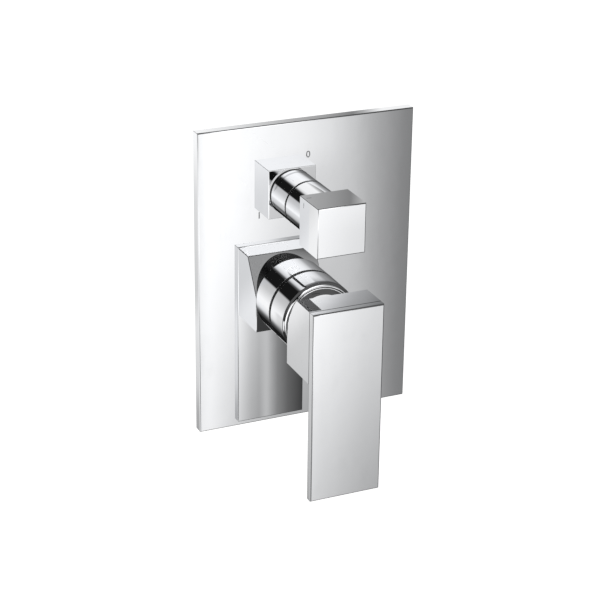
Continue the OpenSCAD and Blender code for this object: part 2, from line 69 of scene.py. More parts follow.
# %% [markdown]
# The record tells which body each node rides on. A dressed copy must ride on the same body as the
# node it stands for, or the lever would leave its skin behind. Both controls turn about an axis
# that leaves the wall at a right angle. Much of what follows is measured from where these start.

# %% Know the bodies and the two axes
body_of = {n: b for b, members in frame["record"]["behaviour"]["bodies"].items() for n in members}
scene = bpy.context.scene
MM = 0.001
WALL_MIXER = Vector((-0.026, 0, 0.0029))
WALL_DIVERTER = Vector((-0.020, 0, 0.0635))


def link(name, mesh):
    """Puts a mesh in the scene as an object at the origin."""
    obj = bpy.data.objects.new(name, mesh)
    scene.collection.objects.link(obj)
    return obj


def evaluated(obj):
    """The object as its modifiers leave it, as a mesh of its own."""
    graph = bpy.context.evaluated_depsgraph_get()
    return bpy.data.meshes.new_from_object(obj.evaluated_get(graph), depsgraph=graph)


def finished(mesh, finish):
    """Gives a mesh one material."""
    mesh.materials.clear()
    mesh.materials.append(finish)


def opened(mesh):
    """A mesh opened for editing."""
    form = bmesh.new()
    form.from_mesh(mesh)
    return form


def written(form, mesh):
    """The edited form, written into a mesh."""
    form.to_mesh(mesh)
    form.free()
    return mesh


# %% [markdown]
# ## The camera
# The photograph looks down at the plate from its left. Its camera was found by fitting a pinhole
# to the corners of the square pieces. A long lens from a little over a metre keeps the edges
# nearly parallel. The small roll is real: the object hangs slightly turned in the frame.

# %% Set the camera
AZIMUTH, ELEVATION, ROLL = math.radians(-24.08), math.radians(23.15), math.radians(0.73)
TARGET, DISTANCE = Vector((-0.00376, -0.007, -0.01904)), 1.1711
LENS, SENSOR = 110.4, 36

back = Vector((math.sin(AZIMUTH) * math.cos(ELEVATION), -math.cos(AZIMUTH) * math.cos(ELEVATION),
               math.sin(ELEVATION)))
right = (-back).cross(Vector((0, 0, 1))).normalized()
up = right.cross(-back)
cam_x = math.cos(ROLL) * right + math.sin(ROLL) * up
cam_y = -math.sin(ROLL) * right + math.cos(ROLL) * up
camera = bpy.data.objects.new("studio_camera", bpy.data.cameras.new("studio_camera"))
scene.collection.objects.link(camera)
camera.data.lens, camera.data.sensor_width = LENS, SENSOR
turn = Matrix((cam_x, cam_y, back)).transposed().to_4x4()
camera.matrix_world = Matrix.Translation(TARGET + back * DISTANCE) @ turn
scene.camera = camera
scene.view_settings.view_transform = "Standard"
print("camera at", [round(v, 3) for v in camera.matrix_world.translation])

# %% [markdown]
# ## Node helpers
# A material is a small graph. A few helpers keep the graphs readable: two add a node and fill
# its sockets, and each of the others does one step of arithmetic.

# %% Write the node helpers


def fill(tree, node, sockets):
    """Sets or links a node's input sockets by name or number."""
    for key, value in sockets.items():
        if isinstance(value, bpy.types.NodeSocket):
            tree.links.new(value, node.inputs[key])
        else:
            node.inputs[key].default_value = value
    return node


def add(tree, kind, sockets=None, **settings):
    """Adds a node, sets its properties and fills its sockets."""
    node = tree.nodes.new(kind)
    for key, value in settings.items():
        setattr(node, key, value)
    return fill(tree, node, sockets or {})


def calc(tree, step, a, b=0.0, c=0.0):
    """One Math node: a and b, and c where it needs three."""
    return add(tree, "ShaderNodeMath", {0: a, 1: b, 2: c}, operation=step).outputs[0]


def times(tree, first, *others):
    """Masks and values multiplied with each other."""
    for other in others:
        first = calc(tree, "MULTIPLY", first, other)
    return first


def spread(tree, value, low, high, to_low=0.0, to_high=1.0, curve="SMOOTHSTEP"):
    """Maps low..high of a value onto to_low..to_high, with soft ends."""
    return add(tree, "ShaderNodeMapRange", {"Value": value, "From Min": low, "From Max": high,
               "To Min": to_low, "To Max": to_high}, interpolation_type=curve).outputs[0]


def between(tree, mask, low, high):
    """One value where the mask is 0, the other where it is 1."""
    return add(tree, "ShaderNodeMix", {0: mask, 2: low, 3: high}, data_type="FLOAT").outputs[0]


def apart(tree, a, b):
    """How far apart two values lie."""
    return calc(tree, "ABSOLUTE", calc(tree, "SUBTRACT", a, b))


def split(tree, vector):
    """The X, Y and Z of a vector."""
    return add(tree, "ShaderNodeSeparateXYZ", {0: vector}).outputs


def length_of(tree, a, b):
    """The length of a step that goes a one way and b at right angles to it."""
    return calc(tree, "SQRT", calc(tree, "ADD", times(tree, a, a), times(tree, b, b)))


print("helpers ready")

# %% [markdown]
# ## Shared effects
# Real chrome is never one number. Hands leave broad, faint smears, a cloth leaves hair-fine
# lines, and plating over polished brass keeps a slight ripple. These effects are node groups, so
# that every metal can use them in its own strength. A group only puts out masks and heights; the
# shader stays in the material.

# %% Make the groups for handling and polish


def group(name, inputs, outputs):
    """An empty shader group with a vector and named numbers as inputs, and its outputs."""
    tree = bpy.data.node_groups.new(name, "ShaderNodeTree")
    tree.interface.new_socket("Vector", in_out="INPUT", socket_type="NodeSocketVector")
    for key, value in inputs.items():
        socket = tree.interface.new_socket(key, in_out="INPUT", socket_type="NodeSocketFloat")
        socket.default_value = value
    for key in outputs:
        tree.interface.new_socket(key, in_out="OUTPUT", socket_type="NodeSocketFloat")
    return tree, tree.nodes.new("NodeGroupInput").outputs, tree.nodes.new("NodeGroupOutput").inputs


def noise(tree, vector, scale, detail=2.0, rough=0.5, warp=0.0):
    return add(tree, "ShaderNodeTexNoise", {"Vector": vector, "Scale": scale, "Detail": detail,
               "Roughness": rough, "Distortion": warp}).outputs["Fac"]


def stretched(tree, vector, size, turned_by=(0, 0, 0)):
    """Coordinates pulled out along one way, which turns a noise into strokes."""
    return add(tree, "ShaderNodeMapping", {"Vector": vector, "Scale": size,
               "Rotation": turned_by}).outputs[0]


handling, gi, go = group("handling", {"Smear size": 30.0, "Scratches": 0.5}, ("Smear", "Scratch"))
spot = gi["Vector"]
cloud = spread(handling, noise(handling, spot, gi["Smear size"], 3.0, 0.55, 0.6), 0.44, 0.68)
wipe = noise(handling, stretched(handling, spot, (60, 60, 14), (0.3, 0.5, 0.9)), 3.0, 2.0)
handling.links.new(times(handling, cloud, spread(handling, wipe, 0.3, 0.75)), go["Smear"])
rubs = noise(handling, stretched(handling, spot, (30, 30, 2600), (0.4, 0.9, 0.2)), 1.0, 0.0)
nicks = noise(handling, stretched(handling, spot, (2400, 24, 24), (0.1, 0.5, 1.1)), 1.0, 0.0)
hairs = calc(handling, "MAXIMUM", spread(handling, rubs, 0.72, 0.8),
             spread(handling, nicks, 0.73, 0.82))
handling.links.new(times(handling, hairs, gi["Scratches"]), go["Scratch"])

ripple, gi, go = group("polish_ripple", {"Wave size": 60.0}, ("Height",))
broad = noise(ripple, gi["Vector"], gi["Wave size"], 1.0)
fine = noise(ripple, gi["Vector"], 900.0, 1.0)
ripple.links.new(calc(ripple, "MULTIPLY_ADD", fine, 0.05, broad), go["Height"])
print("groups", handling.name, ripple.name)

# %% [markdown]
# Two more effects belong to what is hidden in the wall. A moulding has a fine pebble grain and an
# uneven tone. Turned brass has the spiral that the cutter leaves: a sine over the distance that
# the tip has travelled, inwards over a face and along a barrel.

# %% Make the groups for mouldings and turned brass
moulded, gi, go = group("moulded_grain", {"Grain size": 1800.0}, ("Height", "Tone"))
pebbles = add(moulded, "ShaderNodeTexVoronoi", {"Vector": gi["Vector"], "Scale": gi["Grain size"]},
              feature="SMOOTH_F1").outputs["Distance"]
moulded.links.new(pebbles, go["Height"])
moulded.links.new(noise(moulded, gi["Vector"], 45.0, 3.0), go["Tone"])

lathe_marks, gi, go = group("lathe_marks", {"Axis X": 0.0, "Axis Z": 0.0, "Pitch": 0.0004},
                            ("Height",))
xyz = split(lathe_marks, gi["Vector"])
radius = length_of(lathe_marks, calc(lathe_marks, "SUBTRACT", xyz["X"], gi["Axis X"]),
                   calc(lathe_marks, "SUBTRACT", xyz["Z"], gi["Axis Z"]))
travel = calc(lathe_marks, "ADD", radius, xyz["Y"])
turns = times(lathe_marks, calc(lathe_marks, "DIVIDE", travel, gi["Pitch"]), 2 * math.pi)
lathe_marks.links.new(calc(lathe_marks, "SINE", turns), go["Height"])
print("groups", [g.name for g in bpy.data.node_groups])

# %% [markdown]
# ## Chrome
# Chrome gives back a little over half of the light and bends its colour hardly at all, so its
# base colour is a cool grey and all the drama comes from the studio. The smears raise the
# roughness a touch, the scratches a touch more, and the ripple goes into a Bump node measured in
# metres.
#
# Two finishes differ. The raised bar is pressed metal, so its face leans and bows a little, which
# turns what it mirrors; that is a very long, shallow curve in the same bump. The lever's block
# and blade meet in a tight joint, and the shade in its gap is painted into their colour as a black
# hairline at one level.

# %% Make the chrome materials
CHROME = (0.62, 0.625, 0.635)
DULLED = 0.97             # what a smear leaves of that brightness
RIPPLE = 1e-5             # how high the ripple in the polish is, in metres
# painted shade: the black of the gap between the lever's block and blade
JOINT_SHADE = (0.02, 0.02, 0.02, 1)


def material(name):
    """A new material with a Principled shader, and the object's own coordinates to paint in."""
    mat = bpy.data.materials.new(name)
    mat.use_nodes = True
    tree = mat.node_tree
    shader = tree.nodes["Principled BSDF"]
    spot = add(tree, "ShaderNodeTexCoord").outputs["Object"]
    return mat, tree, shader, spot


def use(tree, which, vector, **values):
    """Places a shared group in a material with its own values."""
    values = {key.replace("_", " "): value for key, value in values.items()}
    return add(tree, "ShaderNodeGroup", {"Vector": vector, **values}, node_tree=which).outputs


def blend(tree, mask, low, high):
    """A colour that goes from low to high with the mask."""
    return add(tree, "ShaderNodeMix", {0: mask, 6: (*low, 1), 7: (*high, 1)},
               data_type="RGBA").outputs[2]


def bump(tree, shader, height, depth):
    """Sends a height through a Bump node, as deep as given in metres."""
    node = add(tree, "ShaderNodeBump", {"Height": height, "Distance": depth, "Strength": 1.0})
    fill(tree, shader, {"Normal": node.outputs[0]})


def painted_joint_shade(tree, spot, tone, level):
    """The tone, with a black hairline of painted shade where two pieces meet at a level."""
    line = spread(tree, apart(tree, split(tree, spot)["Y"], level), 0.00025, 0.0004, 1, 0)
    return add(tree, "ShaderNodeMix", {0: line, 6: tone, 7: JOINT_SHADE}, data_type="RGBA").outputs[2]


def bowed(tree, spot, height, start, lean, crown):
    """The height, on a face that leans from a start in X and bows more and more beyond it."""
    side = calc(tree, "SUBTRACT", split(tree, spot)["X"], start)
    rise = times(tree, side, calc(tree, "MULTIPLY_ADD", side, crown / 2, lean))
    return calc(tree, "ADD", height, calc(tree, "DIVIDE", rise, RIPPLE))


def chrome(name, bow=None, joint=None):
    """Polished chrome. A bow is a start, lean and crown; a joint the level of painted shade."""
    mat, tree, shader, spot = material(name)
    hand = use(tree, handling, spot, Smear_size=28.0, Scratches=0.5)
    tone = blend(tree, hand["Smear"], CHROME, tuple(DULLED * v for v in CHROME))
    if joint is not None:
        tone = painted_joint_shade(tree, spot, tone, joint)
    smeared = spread(tree, hand["Smear"], 0.0, 1.0, 0.022, 0.05, "LINEAR")
    rough = calc(tree, "MULTIPLY_ADD", hand["Scratch"], 0.04, smeared)
    fill(tree, shader, {"Base Color": tone, "Metallic": 1.0, "Roughness": rough})
    height = use(tree, ripple, spot, Wave_size=70.0)["Height"]
    if bow:
        height = bowed(tree, spot, height, *bow)
    bump(tree, shader, height, RIPPLE)
    return mat


polished = chrome("polished_chrome")
pressed = chrome("pressed_chrome", bow=(-0.047, -0.002, -2.65))
# the block and the blade, with a hairline of painted shade along their joint
joint_shaded_chrome = chrome("jointed_chrome", joint=-0.1207)
print("made", polished.name, pressed.name, joint_shaded_chrome.name)

# %% [markdown]
# ## Brass, steel, plastic, rubber and ceramic
# Behind the plate nobody polishes. The valve bodies are cast brass turned on a lathe, so their
# bump is a row of fine rings over a faint cast grain, with darker, duller patches of tarnish.
# The mounting frame is galvanised sheet. Seals are rubber with a pale bloom, the cartridge is a
# matt moulding, and its discs are ground ceramic.

# %% Write the other finishes


def brass(name, axis):
    mat, tree, shader, spot = material(name)
    tarnish = spread(tree, noise(tree, spot, 90.0, 5.0, 0.6, 0.4), 0.42, 0.7)
    tone = blend(tree, tarnish, (0.80, 0.60, 0.30), (0.52, 0.34, 0.16))
    rough = spread(tree, tarnish, 0.0, 1.0, 0.24, 0.46)
    fill(tree, shader, {"Base Color": tone, "Metallic": 1.0, "Roughness": rough})
    cast = use(tree, moulded, spot, Grain_size=1400.0)["Height"]
    rings = use(tree, lathe_marks, spot, Axis_X=axis.x, Axis_Z=axis.z, Pitch=0.0005)["Height"]
    bump(tree, shader, calc(tree, "MULTIPLY_ADD", cast, 0.8, rings), 8e-6)
    return mat


def moulding(name, low, high, rough, grain=1800.0, depth=1.5e-5, gleam=0.5):
    mat, tree, shader, spot = material(name)
    skin = use(tree, moulded, spot, Grain_size=grain)
    matt = spread(tree, skin["Tone"], 0.3, 0.7, rough * 0.88, rough * 1.1)
    fill(tree, shader, {"Base Color": blend(tree, skin["Tone"], low, high), "Roughness": matt,
                        "Specular IOR Level": gleam})
    bump(tree, shader, skin["Height"], depth)
    return mat


def galvanised(name, low, high):
    mat, tree, shader, spot = material(name)
    flakes = add(tree, "ShaderNodeTexVoronoi", {"Vector": spot, "Scale": 220.0}).outputs["Color"]
    flake = add(tree, "ShaderNodeSeparateColor", {0: flakes}).outputs[0]
    strokes = noise(tree, stretched(tree, spot, (40, 40, 1800)), 1.0, 2.0)
    rolled = spread(tree, strokes, 0.3, 0.7, 0.26, 0.36)
    fill(tree, shader, {"Base Color": blend(tree, flake, low, high), "Metallic": 1.0,
                        "Roughness": calc(tree, "MULTIPLY_ADD", flake, 0.1, rolled)})
    bump(tree, shader, strokes, 1e-5)
    return mat


def foam(name):
    mat, tree, shader, spot = material(name)
    cells = add(tree, "ShaderNodeTexVoronoi", {"Vector": spot, "Scale": 1300.0},
                feature="DISTANCE_TO_EDGE")
    skin = spread(tree, cells.outputs["Distance"], 0.02, 0.2)
    tone = blend(tree, skin, (0.09, 0.09, 0.09), (0.025, 0.025, 0.026))
    fill(tree, shader, {"Base Color": tone, "Roughness": 0.92})
    bump(tree, shader, skin, 1e-4)
    return mat


print("finishes ready")

# %% [markdown]
# Each call below mixes one real stock: its two tones, how matt it is, and where it matters the
# size and depth of its grain. The black moulding hardly gleams, because it has to stay black
# between two mirrors.

# %% Make the other materials
mixer_brass = brass("turned_brass_mixer", WALL_MIXER)
diverter_brass = brass("turned_brass_diverter", WALL_DIVERTER)
black_plastic = moulding("black_moulding", (0.004, 0.004, 0.005), (0.010, 0.010, 0.011), 0.42,
                         gleam=0.15)
rubber = moulding("soft_rubber", (0.012, 0.012, 0.012), (0.04, 0.04, 0.041), 0.72, 2600.0, 2e-5)
grey_plastic = moulding("matt_moulding", (0.46, 0.47, 0.47), (0.54, 0.55, 0.55), 0.45)
ceramic = moulding("ground_ceramic", (0.82, 0.80, 0.75), (0.88, 0.87, 0.83), 0.14, 3500.0, 1e-6)
sheet_steel = galvanised("galvanised_sheet", (0.46, 0.47, 0.49), (0.62, 0.63, 0.64))
screw_steel = galvanised("bright_steel", (0.52, 0.52, 0.53), (0.60, 0.60, 0.61))
seal_foam = foam("closed_foam")
number_paint = moulding("number_fill", (0.33, 0.33, 0.34), (0.39, 0.39, 0.40), 0.5, 3000.0, 4e-6)
print("materials", len(bpy.data.materials))

# %% [markdown]
# Each node of the model now gets its finish. The visible chrome pieces are dressed further down,
# where copies with softened edges stand in for them.

# %% Hand out the finishes
finishes = {
    polished: "wall_plate mixer_flange mixer_sleeve mixer_dome mouth_ring ball_cap "
              "lever_plug diverter_flange diverter_sleeve diverter_neck diverter_knob",
    pressed: "raised_bar",
    joint_shaded_chrome: "lever_block lever_blade",
    sheet_steel: "mounting_frame",
    screw_steel: "carrier_pin lever_set_screw knob_set_screw",
    mixer_brass: "mixer_housing cartridge_nut lever_stem",
    diverter_brass: "diverter_housing diverter_nut diverter_spindle",
    black_plastic: "mixer_collar dome_ring diverter_base_ring diverter_glide_ring",
    rubber: "frame_grommets mixer_flange_gasket cartridge_seals diverter_flange_gasket",
    seal_foam: "plate_gasket",
    grey_plastic: "mixer_cartridge cartridge_carrier disc_holder diverter_cartridge",
    ceramic: "fixed_disc sliding_disc diverter_fixed_disc diverter_turning_disc",
}
finish_of = {name: finish for finish, names in finishes.items() for name in names.split()}
for name, finish in finish_of.items():
    finished(nodes[name].data, finish)
print("without a finish:", sorted(set(nodes) - set(finish_of)))

# %% [markdown]
# ## Soft edges
# Polished metal never ends in a knife edge. A few tenths of a millimetre are rubbed off, and that
# sliver draws a bright or dark line round every piece. A copy of each square node is cleaned up,
# its flat triangles are joined into whole faces, and a Bevel modifier cuts a narrow flat along
# what is sharp.
#
# A mirror shows the least bend, so shading is set face by face. Flat faces stay flat. Only small
# faces of a curve, as in the flange's hole, are smoothed into each other. The blade's chamfer is
# wide enough to be in the solid, and on the way it is made slimmer.

# %% Write the soft edges
BEVEL_FROM, SMOOTH_TO = math.radians(24), math.radians(20)
LARGE_FACE = 1e-4         # square metres; past this a face is a flat one


def worked_in(obj):
    """The object with its modifiers worked into its mesh."""
    old, mesh = obj.data, evaluated(obj)
    obj.modifiers.clear()
    obj.data = mesh
    bpy.data.meshes.remove(old)
    return obj


def dressed(piece, name, finish):
    """Rides a finished piece on its node's body, in the node's place."""
    if not piece.data.materials:
        piece.data.materials.append(finish)
    piece.data.name = piece.name
    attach(piece, body_of[name])
    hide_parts(name)
    print(f"{piece.name}: {len(piece.data.polygons)} faces, for {name}")
    return piece


def slimmed(form, name, slim):
    """Widens a node's foremost face by a length, and draws the rim of its chamfer forward."""
    low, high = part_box(name)
    for v in form.verts:
        if v.co.y < low.y + 0.1 * MM:
            v.co.x += math.copysign(slim, v.co.x - (low.x + high.x) / 2)
            v.co.z += math.copysign(slim, v.co.z - (low.z + high.z) / 2)
        elif v.co.y < low.y + 1.1 * MM:
            v.co.y -= slim


def shaded(piece):
    """Smooths the small faces of curves and leaves every flat face flat."""
    form = opened(piece.data)
    for edge in form.edges:
        edge.smooth = len(edge.link_faces) == 2 and edge.calc_face_angle(9) < SMOOTH_TO
    for face in form.faces:
        curved = any(e.smooth and e.calc_face_angle(0) > 1e-3 for e in face.edges)
        face.smooth = curved and face.calc_area() < LARGE_FACE
    written(form, piece.data)
    return piece


def eased(name, ease, slim):
    """A copy of a node with its sharp edges taken off by a width in metres."""
    form = opened(nodes[name].data)
    bmesh.ops.remove_doubles(form, verts=form.verts, dist=1e-6)
    slimmed(form, name, slim)
    bmesh.ops.dissolve_limit(form, angle_limit=math.radians(0.3), verts=form.verts,
                             edges=form.edges)
    piece = link("soft_" + name, written(form, bpy.data.meshes.new(name)))
    edges = piece.modifiers.new("soft edges", "BEVEL")
    edges.width, edges.segments = ease, 1
    edges.limit_method, edges.angle_limit = "ANGLE", BEVEL_FROM
    return shaded(worked_in(piece))


print("edges from", round(math.degrees(BEVEL_FROM)), "degrees are taken off")

# %% [markdown]
# The widths below were set against the photograph. The plate, the bar and the blade are
# cut from sheet and nearly sharp. The cast blocks and the knob have seen more of the polishing
# wheel.

# %% Dress the square pieces
EASE = {"wall_plate": 0.2, "raised_bar": 0.15, "mixer_flange": 0.4, "lever_block": 0.4,
        "lever_blade": 0.1, "diverter_flange": 0.4, "diverter_knob": 0.42}
SLIM = {"lever_blade": 0.35}
for name, ease in EASE.items():
    dressed(eased(name, ease * MM, SLIM.get(name, 0.0) * MM), name, finish_of[name])

# %% [markdown]
# ## Turned pieces
# The hub's two halves, its mouth ring and the halves of the neck come off a lathe, and so does
# their shape here: a closed outline in radius and level, swept once round the axis. Geometry
# Nodes do the turning. The outline is the object's own mesh, the tree takes the axis, the number
# of steps and the finish, and the same tree makes all eight pieces.

# %% Build the lathe
START = 1 * MM            # the sweep's own circle; outlines are drawn from it
STEPS = 192
UPRIGHT = (math.pi / 2, 0, 0)     # from lying flat to facing the wall


def sockets_of(tree, inputs, output):
    """Makes a geometry tree's inputs, from a number or the name of a kind, and its one output."""
    for key, value in inputs.items():
        kind = {float: "Float", int: "Int"}.get(type(value), value)
        socket = tree.interface.new_socket(key, in_out="INPUT", socket_type="NodeSocket" + kind)
        if kind != value:
            socket.default_value = value
    tree.interface.new_socket(output, in_out="OUTPUT", socket_type="NodeSocketGeometry")
    return tree.nodes.new("NodeGroupInput").outputs


def coated(tree, geometry, finish):
    """Ends a geometry tree: what it made becomes real, takes its finish and goes out."""
    real = add(tree, "GeometryNodeRealizeInstances", {0: geometry})
    coat = add(tree, "GeometryNodeSetMaterial", {0: real.outputs[0], "Material": finish})
    add(tree, "NodeGroupOutput", {0: coat.outputs[0]})


def circle(tree, steps, radius):
    return add(tree, "GeometryNodeCurvePrimitiveCircle", {"Resolution": steps,
               "Radius": radius}).outputs[0]


def swept(tree, path, profile):
    return add(tree, "GeometryNodeCurveToMesh", {"Curve": path,
               "Profile Curve": profile}).outputs[0]


lathe = bpy.data.node_groups.new("lathe", "GeometryNodeTree")
source = sockets_of(lathe, {"Outline": "Geometry", "Axis X": 0.0, "Axis Z": 0.0, "Steps": STEPS,
                            "Finish": "Material"}, "Part")
outline = add(lathe, "GeometryNodeMeshToCurve", {0: source["Outline"]}).outputs[0]
form = swept(lathe, circle(lathe, source["Steps"], START), outline)
axis = add(lathe, "ShaderNodeCombineXYZ", {"X": source["Axis X"], "Z": source["Axis Z"]})
stood = add(lathe, "GeometryNodeTransform", {0: form, "Rotation": UPRIGHT,
            "Translation": axis.outputs[0]})
coated(lathe, stood.outputs[0], source["Finish"])
print("lathe has", len(lathe.nodes), "nodes")

# %% [markdown]
# A modifier knows its inputs by identifiers, not by names, so a helper looks them up. What comes
# off the lathe still has doubled points where the sweep closes. They are merged, the faces are
# turned outwards, and all is shaded smooth but for true corners.

# %% Write the turning


def run_tree(piece, tree, **values):
    """Puts a geometry tree on a piece, sets its inputs by name and works it in."""
    work = piece.modifiers.new(tree.name, "NODES")
    work.node_group = tree
    key = {s.name: s.identifier for s in tree.interface.items_tree if s.in_out == "INPUT"}
    for name, value in values.items():
        work[key[name.replace("_", " ")]] = value
    return worked_in(piece)


def closed(piece, merge=0.0):
    """Merges doubled points, turns all faces outwards and shades them smooth."""
    form = opened(piece.data)
    if merge:
        bmesh.ops.remove_doubles(form, verts=form.verts, dist=merge)
    bmesh.ops.recalc_face_normals(form, faces=form.faces)
    written(form, piece.data)
    piece.data.polygons.foreach_set("use_smooth", [True] * len(piece.data.polygons))
    return piece


def turned(name, outline, axis, finish):
    """Turns a closed outline of (radius, level from the wall) in mm round an axis of the wall."""
    mesh = bpy.data.meshes.new(name)
    points = [(r * MM - START, -level * MM, 0) for r, level in outline]
    mesh.from_pydata(points, [(i, (i + 1) % len(points)) for i in range(len(points))], [])
    piece = run_tree(link("turned_" + name, mesh), lathe, Axis_X=axis.x, Axis_Z=axis.z,
                     Steps=STEPS, Finish=finish)
    closed(piece, merge=1e-7)
    piece.data.set_sharp_from_angle(angle=math.radians(40))
    return dressed(piece, name, finish)


def bend(r, level, size, start, end, count=4, lead=0.12):
    """Points of a small arc round (r, level), from one angle to another in degrees. A point a hair
    before and after it keeps the long faces beside it flat, so that they mirror like true tubes."""
    turn = [math.radians(start + (end - start) * i / count) for i in range(count + 1)]
    arc = [(r + size * math.cos(a), level + size * math.sin(a)) for a in turn]
    first, last = turn[0], turn[-1]
    ahead = (arc[0][0] + lead * math.sin(first), arc[0][1] - lead * math.cos(first))
    behind = (arc[-1][0] - lead * math.sin(last), arc[-1][1] + lead * math.cos(last))
    return [ahead] + arc + [behind]


EDGE = 0.1                # the soft edge of a turned piece, in mm


def rear_edge(r, level):
    return bend(r - EDGE, level + EDGE, EDGE, -90, 0)


def front_edge(r, level):
    return bend(r - EDGE, level - EDGE, EDGE, 0, 90)


def band(bore, r, rear, front):
    """The outline of a plain ring."""
    return [(bore, rear), (r, rear), (r, front), (bore, front)]


print("an edge has", len(rear_edge(10, 0)), "points")

# %% [markdown]
# The outlines repeat the model's own radii and levels. The black line between the hub's halves is
# a ring of dark moulding, drawn wider than the gap so that it stays black. The dome draws in by a
# fifth of a millimetre towards its rounded front edge, along a curve, so the stripes that it
# mirrors lean a little, as in the photograph.

# %% Turn the hub
HUB, HUB_SHELL, HUB_MOUTH, COLLAR_BORE = 24.0, 22.0, 21.0, 19.05
SLEEVE_REAR, SLEEVE_SEAT, SLEEVE_FRONT = 45.7, 56.0, 65.1
DOME_REAR, DOME_FRONT = 67.8, 87.0
SPIGOT_OUT, SPIGOT_IN, SPIGOT_REAR = 21.95, 20.4, 60.1     # the dome's tube inside the sleeve
DRAW_IN, ROUNDING, WALL_STEPS = 0.2, 2.2, 8
AIR = 0.05                # between a dark ring and the piece in front of it

sleeve = ([(COLLAR_BORE, SLEEVE_REAR)] + rear_edge(HUB, SLEEVE_REAR)
          + front_edge(HUB, SLEEVE_FRONT)
          + [(HUB_SHELL, SLEEVE_FRONT), (HUB_SHELL, SLEEVE_SEAT), (COLLAR_BORE, SLEEVE_SEAT)])
turned("mixer_sleeve", sleeve, WALL_MIXER, polished)
hub_line = band(HUB_SHELL, HUB - 0.1, SLEEVE_FRONT, DOME_REAR - AIR)
turned("dome_ring", hub_line, WALL_MIXER, black_plastic)

low_wall, high_wall = DOME_REAR + 0.3, DOME_FRONT - ROUNDING
parts = [i / WALL_STEPS for i in range(1, WALL_STEPS + 1)]
wall = [(HUB - DRAW_IN * part ** 2, low_wall + (high_wall - low_wall) * part) for part in parts]
nose = bend(HUB - DRAW_IN - ROUNDING, high_wall, ROUNDING, 6, 90, 12)[2:]
dome = ([(SPIGOT_IN, SPIGOT_REAR), (SPIGOT_OUT, SPIGOT_REAR), (SPIGOT_OUT, DOME_REAR)]
        + rear_edge(HUB, DOME_REAR) + wall + nose
        + [(HUB_MOUTH, DOME_FRONT - 0.2), (HUB_MOUTH, 66.7), (SPIGOT_IN, 66.5)])
turned("mixer_dome", dome, WALL_MIXER, polished)

MOUTH_REAR, MOUTH_TOP, MOUTH_ROUND = 84.0, 86.45, 0.45
mouth = ([(19.8, MOUTH_REAR), (20.95, MOUTH_REAR)] + bend(20.5, MOUTH_TOP, MOUTH_ROUND, 0, 90)
         + bend(20.25, MOUTH_TOP, MOUTH_ROUND, 90, 180))
turned("mouth_ring", mouth, WALL_MIXER, polished)

# %% [markdown]
# The diverter's neck is built the same way: a fixed half, a dark groove, and a front half that
# turns with the knob. A second dark ring closes the gap at the flange.

# %% Turn the neck
NECK, NECK_BORE, NECK_SHELL = 14.8, 11.05, 12.4
FOOT_REAR, LOW_REAR, LOW_SEAT, LOW_FRONT = 29.8, 32.1, 43.9, 52.2
HIGH_REAR, KNOB_REAR = 54.1, 75.5
GUIDE, GUIDE_REAR, SPINDLE_BORE = 12.1, 47.5, 4.05         # the front half's tube in the rear one

low_neck = ([(NECK_BORE, LOW_REAR)] + rear_edge(NECK, LOW_REAR) + front_edge(NECK, LOW_FRONT)
            + [(NECK_SHELL, LOW_FRONT), (NECK_SHELL, LOW_SEAT), (NECK_BORE, LOW_SEAT)])
turned("diverter_sleeve", low_neck, WALL_DIVERTER, polished)
neck_line = band(NECK_SHELL, NECK - 0.1, LOW_FRONT, HIGH_REAR - AIR)
turned("diverter_glide_ring", neck_line, WALL_DIVERTER, black_plastic)
turned("diverter_base_ring", band(11.1, NECK, FOOT_REAR, LOW_REAR), WALL_DIVERTER, black_plastic)

high_neck = ([(SPINDLE_BORE, GUIDE_REAR), (GUIDE, GUIDE_REAR), (GUIDE, HIGH_REAR)]
             + rear_edge(NECK, HIGH_REAR) + [(NECK, KNOB_REAR), (SPINDLE_BORE, KNOB_REAR)])
turned("diverter_neck", high_neck, WALL_DIVERTER, polished)

# %% [markdown]
# ## The numbers beside the diverter's flange
# Three plain numbers on the plate, at the corners of the diverter's flange, tell the bather where
# the knob points: 0 at the upper right, 1 at the lower left and 2 at the lower right. They are
# filled into the chrome, so they lie almost flush. A text object is turned into a mesh before it
# is moved to its place.

# %% Fill in the numbers
PLATE_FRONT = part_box("wall_plate")[0].y
DIGIT_HEIGHT, DIGIT_BOLD, DIGIT_PROUD = 4.2 * MM, 0.05 * MM, 0.02 * MM
CAP_SHARE = 0.69          # how much of a letter's set size its figures fill
PLACES = {"0": (20.5, 14.6), "1": (-12.1, -21.1), "2": (17.5, -20.8)}   # mm from the knob's axis


def figure_mesh(figure):
    """One figure as a mesh, centred and lying flat."""
    words = bpy.data.curves.new("number_" + figure, "FONT")
    words.body, words.size = figure, DIGIT_HEIGHT / CAP_SHARE
    words.align_x, words.align_y = "CENTER", "CENTER"
    words.extrude, words.offset = 2 * DIGIT_PROUD, DIGIT_BOLD
    helper = link("number_helper", words)
    mesh = evaluated(helper)
    bpy.data.objects.remove(helper)
    ends = [[f(v.co[i] for v in mesh.vertices) for f in (min, max)] for i in range(2)]
    mesh.transform(Matrix.Translation((-sum(ends[0]) / 2, -sum(ends[1]) / 2, 0)))
    return mesh


for figure, (side, rise) in PLACES.items():
    mesh = figure_mesh(figure)
    place = WALL_DIVERTER + Vector((side * MM, PLATE_FRONT - DIGIT_PROUD, rise * MM))
    mesh.transform(Matrix.Translation(place) @ Matrix.Rotation(math.pi / 2, 4, "X"))
    finished(mesh, number_paint)
    number = link("number_" + figure, mesh)
    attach(number, "base")
    print("number", figure, "at", [round(v * 1000, 1) for v in place], "mm")

# %% [markdown]
# The knob carries a small index of its own, which shows where it points: one short stroke on its
# top and one on its left side, both near the rear corner. Each is a thin pad with round ends.

# %% Mark the knob


